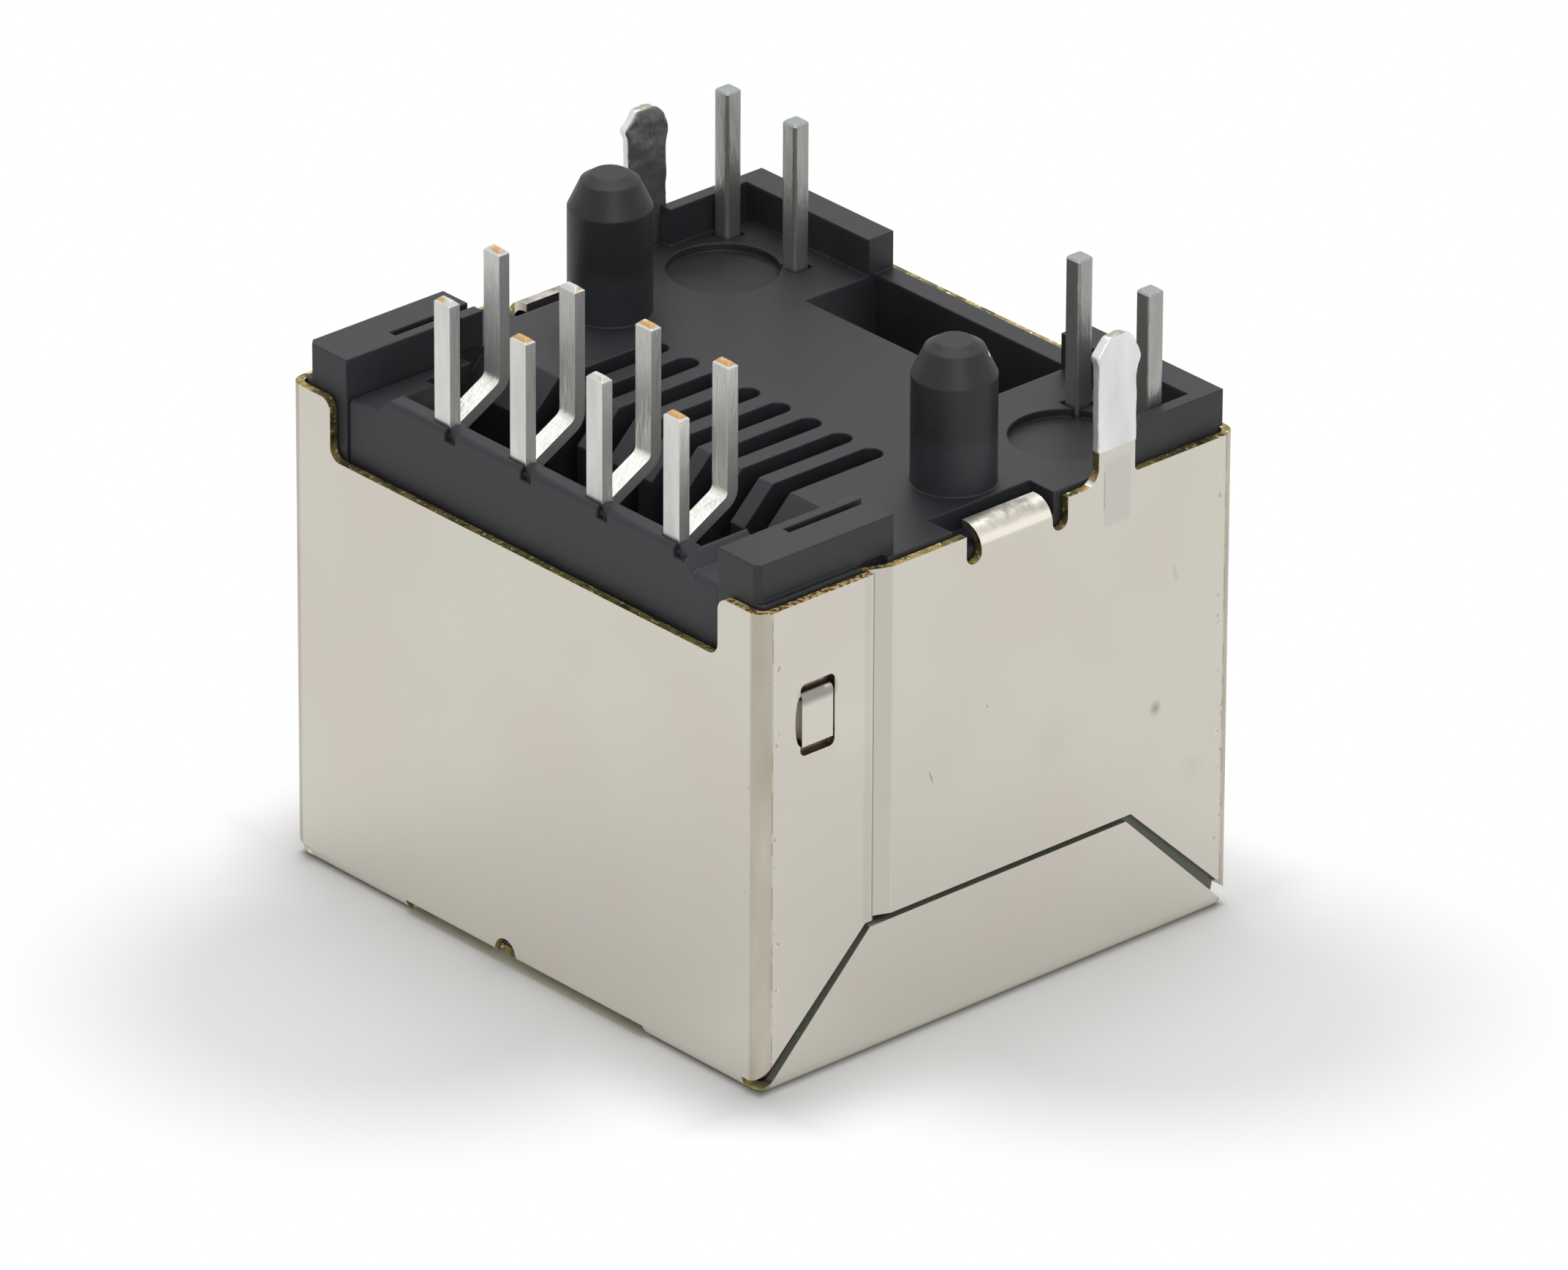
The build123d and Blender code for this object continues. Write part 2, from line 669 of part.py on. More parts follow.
with BuildPart() as carrier:
    with BuildSketch(across(carrier_face)):
        side = carrier_width / 2
        crown = carrier_crown / 2
        outline(
            (-side, carrier_foot),
            (side, carrier_foot),
            (side, carrier_shoulder),
            (crown, carrier_shoulder),
            (crown - carrier_crown_slope, carrier_top),
            (carrier_crown_slope - crown, carrier_top),
            (-crown, carrier_shoulder),
            (-side, carrier_shoulder),
        )
    extrude(amount=carrier_face - carrier_back)
    fillet(carrier.edges().filter_by(Axis.X).group_by(Axis.Y)[0].sort_by(Axis.Z)[-3:], carrier_edge)
    # pit where the contacts bend out to their two rows
    wall_front = carrier_back + carrier_wall
    with BuildSketch(Plane.XY.offset(pit_floor)):
        pit_side = carrier_width / 2 - pit_inset
        span((-pit_side, wall_front), (pit_side, carrier_face))
    extrude(amount=carrier_top - pit_floor, mode=Mode.SUBTRACT)
    with BuildSketch(Plane.XY.offset(carrier_foot)):
        for side in (-1, 1):
            with Locations((side * (carrier_width - rail_width) / 2, carrier_face + rail_length / 2)):
                Rectangle(rail_width, rail_length)
    extrude(amount=carrier_shoulder - carrier_foot)
    with BuildSketch(Plane.XY.offset(carrier_foot)):
        span((-tongue_width / 2, carrier_face), (tongue_width / 2, tongue_nose))
    extrude(amount=tongue_top - carrier_foot)
    for index in range(contact_count):
        in_front_row = index % 2 == 0
        pin_x = contact_x(index, pin_pitch)
        spring_x = contact_x(index, contact_pitch)
        # upright groove, open towards the comb
        with BuildSketch(across(carrier_face)):
            outline(*run_points(index, carrier_top, groove_gap))
        extrude(amount=carrier_face - groove_back, mode=Mode.SUBTRACT)
        # groove along the tongue
        with BuildSketch(Plane.XY.offset(strip_floor - strip / 2 - groove_gap)):
            span((spring_x - tongue_slot, groove_back), (spring_x + tongue_slot, tongue_nose))
        extrude(amount=tongue_top, mode=Mode.SUBTRACT)
        if not in_front_row:
            # slot where a rear pin stands in the wall, and the small notch behind it
            slot_floor = deck + rear_bend_rise - pin_slot_drop
            with BuildSketch(Plane.XY.offset(slot_floor)):
                pin_side = pin_width / 2 + groove_gap
                span(
                    (pin_x - pin_side, rear_row - strip / 2 - groove_gap),
                    (pin_x + pin_side, wall_front),
                )
            extrude(amount=carrier_top - slot_floor, mode=Mode.SUBTRACT)
            with BuildSketch(Plane.XY.offset(carrier_top - pin_notch_drop)):
                notch_x = pin_x + pin_notch_start
                span(
                    (notch_x, carrier_back),
                    (notch_x + pin_notch_width, rear_row - strip / 2 - groove_gap),
                )
            extrude(amount=pin_notch_drop, mode=Mode.SUBTRACT)
save(carrier, "contact_carrier")


# Lights and their leads
for side, name in ((-1, "left"), (1, "right")):
    led_x = side * led_center_x
    with BuildPart() as led:
        with BuildSketch(across(housing_front)):
            with Locations((led_x, led_base + led_height / 2)):
                Rectangle(led_width, led_height)
        extrude(amount=led_depth)
        fillet(led.edges().filter_by(Axis.Y), lens_crown)
        chamfer(led.faces().sort_by(Axis.Y)[-1].edges(), lens_crown / 2)
        with BuildSketch(Plane.XY.offset(led_base + led_height - lead_seat)):
            with GridLocations(lead_pitch, 1, 2, 1):
                with Locations((led_x, lead_y)):
                    Rectangle(lead_size + 2 * groove_gap, lead_size + 2 * groove_gap)
        extrude(amount=lead_seat, mode=Mode.SUBTRACT)
    save(led, f"led_{name}")
    for pole, kind in ((-1, "outer"), (1, "inner")):
        lead_x = led_x - side * pole * lead_pitch / 2
        with BuildPart() as lead:
            with BuildSketch(Plane.XY.offset(led_base + led_height - lead_seat)):
                with Locations((lead_x, lead_y)):
                    Rectangle(lead_size, lead_size)
            extrude(amount=seat + lead_length - (led_base + led_height - lead_seat))
            fillet(lead.edges().filter_by(Axis.Z), lead_round)
            chamfer(lead.faces().sort_by(Axis.Z)[-1].edges(), lead_round / 2)
        save(lead, f"led_{name}_lead_{kind}")
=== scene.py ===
import math
import bpy
from mathutils import Matrix, Vector


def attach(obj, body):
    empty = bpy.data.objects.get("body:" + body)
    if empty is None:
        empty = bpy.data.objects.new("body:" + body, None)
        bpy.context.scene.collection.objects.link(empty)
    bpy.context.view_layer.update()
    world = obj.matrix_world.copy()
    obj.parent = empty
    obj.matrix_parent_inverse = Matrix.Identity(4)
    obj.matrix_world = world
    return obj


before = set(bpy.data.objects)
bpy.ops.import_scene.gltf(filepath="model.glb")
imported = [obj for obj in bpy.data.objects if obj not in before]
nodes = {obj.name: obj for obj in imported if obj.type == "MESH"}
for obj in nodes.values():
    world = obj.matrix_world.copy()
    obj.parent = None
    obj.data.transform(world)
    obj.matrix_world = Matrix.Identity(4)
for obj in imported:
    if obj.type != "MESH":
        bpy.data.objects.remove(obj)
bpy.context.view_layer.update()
mm = 0.001
print("frame loaded:", len(nodes), "nodes")

# sizes of the jack that its materials and the floor share
jack = {
    "halfWidth": 7.9 * mm,
    "halfDepth": 7.05 * mm,
    "rim": 11.8 * mm,
    "sheet": 0.2 * mm,
    "bendRadius": 0.4 * mm,
}


# small helpers for building node trees
def addNode(tree, kind, x=0, **settings):
    node = tree.nodes.new(kind)
    node.location.x = x
    for name, value in settings.items():
        setattr(node, name, value)
    return node


def setInputs(node, values):
    for name, value in values.items():
        node.inputs[name].default_value = value


def link(tree, source, target):
    tree.links.new(source, target)


def feed(tree, target, value):
    if isinstance(value, bpy.types.NodeSocket):
        link(tree, value, target)
    else:
        target.default_value = value


def calc(tree, operation, first, second=0.0, third=0.0, clamp=False):
    node = addNode(tree, "ShaderNodeMath", operation=operation, use_clamp=clamp)
    for place, value in enumerate((first, second, third)):
        feed(tree, node.inputs[place], value)
    return node.outputs[0]


# value times gain plus middle, kept between 0 and 1
def contrast(tree, value, gain, middle):
    return calc(tree, "MULTIPLY_ADD", value, gain, middle, clamp=True)


# one operation over several values in turn
def combine(tree, operation, first, *others):
    for other in others:
        first = calc(tree, operation, first, other)
    return first


def absolute(tree, value):
    return calc(tree, "ABSOLUTE", value)


def blend(tree, kind, factor, under, over):
    node = addNode(tree, "ShaderNodeMix", data_type=kind)
    for label, value in (("Factor", factor), ("A", under), ("B", over)):
        feed(tree, node.inputs[label], value)
    return node.outputs["Result"]


def blendColor(tree, factor, under, over):
    return blend(tree, "RGBA", factor, under, over)


def blendValue(tree, factor, under, over):
    return blend(tree, "FLOAT", factor, under, over)


# lays a tint over a base where all the masks meet
def paint(tree, base, tint, *masks):
    return blendColor(tree, combine(tree, "MULTIPLY", *masks), base, tint)


def rampBetween(tree, value, low, high):
    node = addNode(tree, "ShaderNodeMapRange", interpolation_type="SMOOTHSTEP")
    feed(tree, node.inputs["Value"], value)
    setInputs(node, {"From Min": low, "From Max": high})
    return node.outputs["Result"]


def splitVector(tree, source):
    node = addNode(tree, "ShaderNodeSeparateXYZ", -1000)
    link(tree, source, node.inputs["Vector"])
    return node.outputs


# the point on the piece, and then the point and the normal in their three parts
def readSpot(tree):
    return addNode(tree, "ShaderNodeTexCoord", -1200).outputs["Object"]


def readPlace(tree):
    place = addNode(tree, "ShaderNodeTexCoord", -1200)
    return [splitVector(tree, place.outputs[name]) for name in ("Object", "Normal")]


# soft-edged box on a side, by its middle and half sizes in Y and Z, in millimetres
def boxMask(tree, at, centerY, centerZ, halfY, halfZ, soft):
    parts = []
    for axis, center, half in (("Y", centerY, halfY), ("Z", centerZ, halfZ)):
        away = absolute(tree, calc(tree, "SUBTRACT", at[axis], center * mm))
        parts.append(rampBetween(tree, away, (half + soft) * mm, half * mm))
    return combine(tree, "MULTIPLY", *parts)


number = "NodeSocketFloat"
vector = "NodeSocketVector"


def startGroup(name, inputs, outputs):
    group = bpy.data.node_groups.new(name, "ShaderNodeTree")
    for label, kind, value in inputs:
        socket = group.interface.new_socket(name=label, in_out="INPUT", socket_type=kind)
        socket.default_value = value
    for label in outputs:
        group.interface.new_socket(name=label, in_out="OUTPUT", socket_type=number)
    entry = addNode(group, "NodeGroupInput", -900).outputs
    return group, entry, addNode(group, "NodeGroupOutput", 900).inputs


def useGroup(tree, group, values):
    node = addNode(tree, "ShaderNodeGroup")
    node.node_tree = group
    for label, value in values.items():
        feed(tree, node.inputs[label], value)
    return node.outputs


def startMaterial(name):
    material = bpy.data.materials.new(name)
    material.use_nodes = True
    tree = material.node_tree
    tree.nodes.clear()
    output = addNode(tree, "ShaderNodeOutputMaterial", 1400)
    shader = addNode(tree, "ShaderNodeBsdfPrincipled", 1100)
    link(tree, shader.outputs["BSDF"], output.inputs["Surface"])
    return material, tree, shader


# rounds an edge in the shading alone
def softEdge(tree, radius):
    bevel = addNode(tree, "ShaderNodeBevel", 600, samples=6)
    bevel.inputs["Radius"].default_value = radius
    return bevel.outputs["Normal"]


def addBump(tree, shader, height, strength, distance, normal=None):
    bump = addNode(tree, "ShaderNodeBump", 800)
    setInputs(bump, {"Strength": strength, "Distance": distance})
    link(tree, height, bump.inputs["Height"])
    if normal:
        link(tree, normal, bump.inputs["Normal"])
    link(tree, bump.outputs["Normal"], shader.inputs["Normal"])


# uneven tone: a slow cloud and a fine grain, both around zero
toneLook = {"cloudDetail": 3.0, "grainDetail": 2.0, "roughness": 0.55, "middle": 0.5}


def buildToneGroup(look):
    group, entry, result = startGroup(
        "unevenTone",
        [
            ("Cloud Scale", number, 180.0),
            ("Grain Scale", number, 6000.0),
            ("Stretch", vector, (1, 1, 1)),
        ],
        ["Cloud", "Grain"],
    )
    place = addNode(group, "ShaderNodeTexCoord", -700)
    mapping = addNode(group, "ShaderNodeMapping", -500)
    link(group, place.outputs["Object"], mapping.inputs["Vector"])
    link(group, entry["Stretch"], mapping.inputs["Scale"])
    for label, detail in (("Cloud", look["cloudDetail"]), ("Grain", look["grainDetail"])):
        noise = addNode(group, "ShaderNodeTexNoise")
        setInputs(noise, {"Detail": detail, "Roughness": look["roughness"]})
        link(group, mapping.outputs["Vector"], noise.inputs["Vector"])
        link(group, entry[label + " Scale"], noise.inputs["Scale"])
        link(group, calc(group, "SUBTRACT", noise.outputs["Fac"], look["middle"]), result[label])
    return group


# specks: sparse dots with a soft edge, as dust and pores show
speckLook = {"sharpness": 30.0}


def buildSpeckGroup(look):
    group, entry, result = startGroup(
        "sparseSpecks",
        [("Scale", number, 900.0), ("Size", number, 0.12), ("Share", number, 0.2)],
        ["Mask"],
    )
    place = addNode(group, "ShaderNodeTexCoord", -700)
    cells = addNode(group, "ShaderNodeTexVoronoi", -400)
    link(group, place.outputs["Object"], cells.inputs["Vector"])
    link(group, entry["Scale"], cells.inputs["Scale"])
    split = addNode(group, "ShaderNodeSeparateColor", -200)
    link(group, cells.outputs["Color"], split.inputs["Color"])
    chosen = calc(group, "LESS_THAN", split.outputs["Red"], entry["Share"])
    reach = calc(group, "MULTIPLY", entry["Size"], split.outputs["Green"])
    near = calc(group, "SUBTRACT", reach, cells.outputs["Distance"])
    dot = calc(group, "MULTIPLY", near, look["sharpness"], clamp=True)
    link(group, calc(group, "MULTIPLY", dot, chosen), result["Mask"])
    return group


# one mark on a flat side: an oval with a broken edge, turned and stretched
markLook = {"depth": 0.3 * mm, "noiseScale": 2600.0, "noiseDetail": 3.0, "noiseMiddle": 0.5}


def buildMarkGroup(look):
    group, entry, result = startGroup(
        "surfaceMark",
        [
            ("Center", vector, (0, 0, 0)),
            ("Angle", number, 0.0),
            ("Long", number, 1.0 * mm),
            ("Short", number, 1.0 * mm),
            ("Soft", number, 0.5),
            ("Ragged", number, 0.3),
        ],
        ["Mask"],
    )
    place = addNode(group, "ShaderNodeTexCoord", -900)
    offset = addNode(group, "ShaderNodeVectorMath", -700, operation="SUBTRACT")
    link(group, place.outputs["Object"], offset.inputs[0])
    link(group, entry["Center"], offset.inputs[1])
    turned = addNode(group, "ShaderNodeVectorRotate", -500, rotation_type="X_AXIS")
    link(group, offset.outputs["Vector"], turned.inputs["Vector"])
    link(group, entry["Angle"], turned.inputs["Angle"])
    split = splitVector(group, turned.outputs["Vector"])
    squares = []
    for axis, reach in (("Y", entry["Long"]), ("Z", entry["Short"]), ("X", look["depth"])):
        part = calc(group, "DIVIDE", split[axis], reach)
        squares.append(calc(group, "MULTIPLY", part, part))
    distance = calc(group, "SQRT", combine(group, "ADD", *squares))
    noise = addNode(group, "ShaderNodeTexNoise")
    setInputs(noise, {"Scale": look["noiseScale"], "Detail": look["noiseDetail"]})
    link(group, place.outputs["Object"], noise.inputs["Vector"])
    uneven = calc(group, "SUBTRACT", noise.outputs["Fac"], look["noiseMiddle"])
    ragged = calc(group, "MULTIPLY", uneven, entry["Ragged"])
    inside = calc(group, "SUBTRACT", 1.0, calc(group, "ADD", distance, ragged))
    link(group, calc(group, "DIVIDE", inside, entry["Soft"], clamp=True), result["Mask"])
    return group


# where a sheet was cut: its thin faces, told by place and direction
cutEdgeLook = {
    "slack": 1.2,  # in sheets, how deep a face may lie and still belong to the sheet
    "thin": 0.5,
    "steep": 0.7,
    "level": 0.2,
    "underRim": 0.05 * mm,
    "close": 0.03 * mm,
}


def buildCutEdgeGroup(look):
    group, entry, result = startGroup(
        "cutEdge",
        [
            ("Half Width", number, jack["halfWidth"]),
            ("Half Depth", number, jack["halfDepth"]),
            ("Top", number, jack["rim"]),
            ("Sheet", number, jack["sheet"]),
            ("Bend", number, jack["bendRadius"]),
            ("Tab End", number, 13.8 * mm),
        ],
        ["Mask"],
    )
    at, way = readPlace(group)
    slack = calc(group, "MULTIPLY", entry["Sheet"], look["slack"])
    masks = []
    for axis, other, half, otherHalf in (
        ("X", "Y", "Half Width", "Half Depth"),
        ("Y", "X", "Half Depth", "Half Width"),
    ):
        sheetFrom = calc(group, "SUBTRACT", entry[half], slack)
        inSheet = calc(group, "GREATER_THAN", absolute(group, at[axis]), sheetFrom)
        bendFrom = calc(group, "SUBTRACT", entry[otherHalf], entry["Bend"])
        offBend = calc(group, "LESS_THAN", absolute(group, at[other]), bendFrom)
        thinFace = calc(group, "LESS_THAN", absolute(group, way[axis]), look["thin"])
        masks.append(combine(group, "MULTIPLY", inSheet, offBend, thinFace))
    alongY = calc(group, "GREATER_THAN", absolute(group, way["Y"]), look["steep"])
    rimFrom = calc(group, "SUBTRACT", entry["Top"], look["underRim"])
    underRim = calc(group, "LESS_THAN", at["Z"], rimFrom)
    onTabEnd = calc(group, "GREATER_THAN", at["Z"], entry["Tab End"])
    offHook = combine(group, "MAXIMUM", alongY, underRim, onTabEnd)
    masks[0] = calc(group, "MULTIPLY", masks[0], offHook)  # the hooked tab's rolled top stays plated
    faceUp = calc(group, "GREATER_THAN", way["Z"], look["steep"])
    level = calc(group, "LESS_THAN", absolute(group, way["X"]), look["level"])
    nearTop = calc(group, "COMPARE", at["Z"], entry["Top"], look["close"])
    masks.append(combine(group, "MULTIPLY", faceUp, level, nearTop))
    slotPlace = calc(group, "SUBTRACT", entry["Half Depth"], entry["Bend"])
    atSlot = calc(group, "COMPARE", absolute(group, at["Y"]), slotPlace, look["close"])
    inFloor = calc(group, "LESS_THAN", at["Z"], slack)
    masks.append(combine(group, "MULTIPLY", atSlot, inFloor, alongY))
    link(group, combine(group, "MAXIMUM", *masks), result["Mask"])
    return group


toneGroup = buildToneGroup(toneLook)
speckGroup = buildSpeckGroup(speckLook)
markGroup = buildMarkGroup(markLook)
cutEdgeGroup = buildCutEdgeGroup(cutEdgeLook)
print("shared node groups built")

# shield: satin nickel plate, raw cut edges, a painted reflection on the bends, painted light and shade
# on the sides and the hooked tabs, a painted reflection at the solder tabs' roots
# here and below a contrast is a gain and a middle, a bump is a strength and a distance
shieldLook = {
    "plate": (0.632, 0.614, 0.546, 1),
    "plateWarm": (0.634, 0.594, 0.533, 1),
    "plateNoise": {"Cloud Scale": 260.0, "Grain Scale": 9000.0},
    "plateContrast": (3.2, 0.5),
    "roughness": 0.36,
    "roughnessCloud": 0.12,
    "mark": (0.30, 0.27, 0.22, 1),
    # painted shade, then one colour for wear and painted highlights, then a painted reflection at the
    # tab roots
    "shadow": (0.20, 0.185, 0.16, 1),
    "rubbed": (0.80, 0.78, 0.73, 1),
    "tinTone": (0.52, 0.51, 0.48, 1),
    # a painted reflection on the bends, from and to a share of the bends' radius, with chips and a
    # broken line beside them
    "bend": (0.42, 0.385, 0.305, 1),
    "bendFrom": 1.02,
    "bendTo": 0.75,
    "streakNoise": {"Cloud Scale": 900.0, "Stretch": (1.0, 1.0, 0.3)},
    "streakContrast": (1.6, 0.82),
    "wearFrom": 0.36 * mm,
    "wearTo": 0.56 * mm,
    "wearSpeck": (0.80, 0.78, 0.72, 1),
    "chips": {"Scale": 5200.0, "Size": 0.42, "Share": 0.5},
    "chipBright": 0.03,
    "chipStrength": 0.5,
    "dashPlace": 0.345 * mm,
    "dashWidth": 0.014 * mm,
    "dashGap": 0.02,
    "dashStrength": 0.85,
    "sidePanelFrom": 1.4,  # in sheets, inwards from the outside
    "specks": {"Scale": 1100.0, "Size": 0.10, "Share": 0.05},
    "speckStrength": 0.35,
    # on the right side: center y, center z, angle, long, short, soft, ragged, strength
    "sideMarks": (
        (4.67, 5.72, 0.3, 0.20, 0.22, 0.9, 0.6, 0.75),
        (-2.05, 6.27, 1.25, 0.22, 0.025, 0.6, 0.2, 0.9),
        (-0.39, 7.46, 0.9, 0.07, 0.02, 0.5, 0.2, 0.7),
        (1.5, 5.9, 0.2, 0.75, 0.7, 1.0, 0.8, 0.10),
        (5.2, 8.9, 1.3, 0.30, 0.07, 0.9, 0.9, 0.30),
        (5.8, 3.9, 0.4, 0.45, 0.4, 1.0, 0.8, 0.12),
    ),
    # on both sides: center y, center z, half y, half z, soft edge, strength, tint
    "sidePatches": (
        # painted shade on the joggle's slope and painted shade lines at its edge
        (-3.475, 7.56, 0.22, 4.24, 0.08, 0.22, "shadow"),
        (-3.755, 7.56, 0.015, 4.24, 0.03, 0.75, "shadow"),
        (-3.93, 7.56, 0.05, 4.24, 0.10, 0.12, "shadow"),
        # painted light on the lock's lug, painted shade on its top and a painted highlight at its
        # corner
        (-5.40, 8.92, 0.42, 0.62, 0.03, 0.15, "rubbed"),
        (-5.40, 9.46, 0.42, 0.06, 0.22, 0.75, "shadow"),
        (-5.06, 9.58, 0.04, 0.03, 0.10, 0.80, "rubbed"),
        # a patch of wear beside the window
        (-4.35, 8.30, 0.30, 0.35, 0.40, 0.12, "rubbed"),
        # a painted reflection at the solder tab's root and a painted shade line at its edge
        (3.42, 11.5, 0.36, 0.75, 0.08, 0.50, "tinTone"),
        (3.04, 11.6, 0.008, 0.45, 0.015, 0.45, "shadow"),
    ),
    # raw cut faces; each box is center y, center z, half y, half z, soft edge
    "cutEdges": {"Tab End": 13.8 * mm},
    "edgeBrass": (0.46, 0.35, 0.13, 1),
    "edgeOlive": (0.085, 0.085, 0.035, 1),
    "edgeBright": (0.88, 0.76, 0.48, 1),
    "edgeRoughness": 0.5,
    "edgeNoise": {"Cloud Scale": 2600.0, "Grain Scale": 9000.0},
    "edgeContrast": (3.5, 0.5),
    "glint": (0.08, 0.17),
    "freshCut": (0.98, 0.82, 0.42, 1),
    "freshRust": (0.24, 0.10, 0.035, 1),
    "freshRim": (-5.6, 11.7, 1.7, 0.3, 0.5),
    "freshGrain": (-0.07, 0.05),
    "freshStrength": 0.8,
    "lockWindow": (-5.45, 8.92, 0.65, 0.88, 0.05),
    "windowMiddle": (-5.45, 8.92, 0.65, 0.42, 0.10),
    "windowDark": (0.10, 0.045, 0.03, 1),
    "windowPale": (0.62, 0.58, 0.52, 1),
    "windowStrength": 0.85,
    "slotGrey": (0.50, 0.53, 0.45, 1),
    "slotTop": 3.4 * mm,
    "slotFade": 0.95,
    "slotStrength": 0.88,
    "cornerOlive": (0.36, 0.33, 0.15, 1),
    "cornerBand": (-7.0, 0.0, 0.32, 0.17, 0.06),
    "cornerFrom": 7.2 * mm,
    "cornerStrength": 0.9,
    # rolled top of the hooked tabs: a painted highlight band, and scuffs with painted shade where it
    # faces up, both placed by the normal's upward part
    "hookTop": (0.45, 11.75, 1.0, 0.25, 0.08),
    "hookHighlight": (0.88, 0.84, 0.74, 1),
    "hookHighlightIn": (0.1, 0.35),
    "hookHighlightOut": (0.75, 0.5),
    "scuffContrast": (3.0, 0.45),
    "shadeFacing": (0.5, 0.95),
    "scuffAndShadeStrength": 0.9,
    "scuffRoughness": 0.2,
    "bump": (0.25, 0.02 * mm),
    "grainHeight": 0.04,
}


# the flat plate: clouds, a painted reflection on the bends, chips and a broken line beside the bends
def plateColor(tree, look, at, sideward, tone):
    cloud = contrast(tree, tone["Cloud"], *look["plateContrast"])
    plate = blendColor(tree, cloud, look["plate"], look["plateWarm"])
    insetX = calc(tree, "SUBTRACT", jack["halfWidth"], absolute(tree, at["X"]))
    insetY = calc(tree, "SUBTRACT", jack["halfDepth"], absolute(tree, at["Y"]))
    inset = calc(tree, "MAXIMUM", insetX, insetY)
    radius = jack["bendRadius"]
    # painted reflection on the bends, broken up by streaks
    bend = rampBetween(tree, inset, radius * look["bendFrom"], radius * look["bendTo"])
    streak = useGroup(tree, toneGroup, look["streakNoise"])
    patchy = contrast(tree, streak["Cloud"], *look["streakContrast"])
    plate = paint(tree, plate, look["bend"], bend, patchy)
    pastBend = calc(tree, "GREATER_THAN", inset, look["wearFrom"])
    nearBend = calc(tree, "LESS_THAN", inset, look["wearTo"])
    chips = useGroup(tree, speckGroup, look["chips"])
    bright = calc(tree, "GREATER_THAN", tone["Grain"], look["chipBright"])
    chipTone = blendColor(tree, bright, look["mark"], look["wearSpeck"])
    plate = paint(tree, plate, chipTone, chips["Mask"], pastBend, nearBend, look["chipStrength"])
    onLine = calc(tree, "COMPARE", insetY, look["dashPlace"], look["dashWidth"])
    broken = calc(tree, "GREATER_THAN", streak["Grain"], look["dashGap"])
    return paint(tree, plate, look["mark"], onLine, sideward, broken, look["dashStrength"])


# stains, scratches, specks and wear of the side panels, with painted shade bands, painted light and
# highlights on the lock's lug and a painted reflection at the tab roots
def markSides(tree, look, at, sideward, plate):
    for centerY, centerZ, angle, long, short, soft, ragged, strength in look["sideMarks"]:
        shape = {
            "Center": (jack["halfWidth"], centerY * mm, centerZ * mm),
            "Angle": angle,
            "Long": long * mm,
            "Short": short * mm,
            "Soft": soft,
            "Ragged": ragged,
        }
        mark = useGroup(tree, markGroup, shape)
        plate = paint(tree, plate, look["mark"], mark["Mask"], strength)
    for *box, strength, tint in look["sidePatches"]:
        plate = paint(tree, plate, look[tint], boxMask(tree, at, *box), sideward, strength)
    specks = useGroup(tree, speckGroup, look["specks"])
    return paint(tree, plate, look["mark"], specks["Mask"], look["speckStrength"])


# cut faces: mottled brass, fresh and rusty on one rim, dark in the windows, grey in the slots
def rawColor(tree, look, at, sideward, rough):
    patch = contrast(tree, rough["Cloud"], *look["edgeContrast"])
    raw = blendColor(tree, patch, look["edgeOlive"], look["edgeBrass"])
    onRight = calc(tree, "GREATER_THAN", at["X"], 0.0)
    clean = rampBetween(tree, rough["Grain"], *look["freshGrain"])
    freshTone = blendColor(tree, clean, look["freshRust"], look["freshCut"])
    onRim = boxMask(tree, at, *look["freshRim"])
    raw = paint(tree, raw, freshTone, onRim, onRight, look["freshStrength"])
    raw = paint(tree, raw, look["edgeBright"], rampBetween(tree, rough["Grain"], *look["glint"]))
    inWindow = boxMask(tree, at, *look["lockWindow"])
    raw = paint(tree, raw, look["windowDark"], inWindow, look["windowStrength"])
    raw = paint(tree, raw, look["windowPale"], boxMask(tree, at, *look["windowMiddle"]))
    inSlot = rampBetween(tree, at["Z"], look["slotTop"], look["slotTop"] * look["slotFade"])
    return paint(tree, raw, look["slotGrey"], inSlot, sideward, look["slotStrength"])


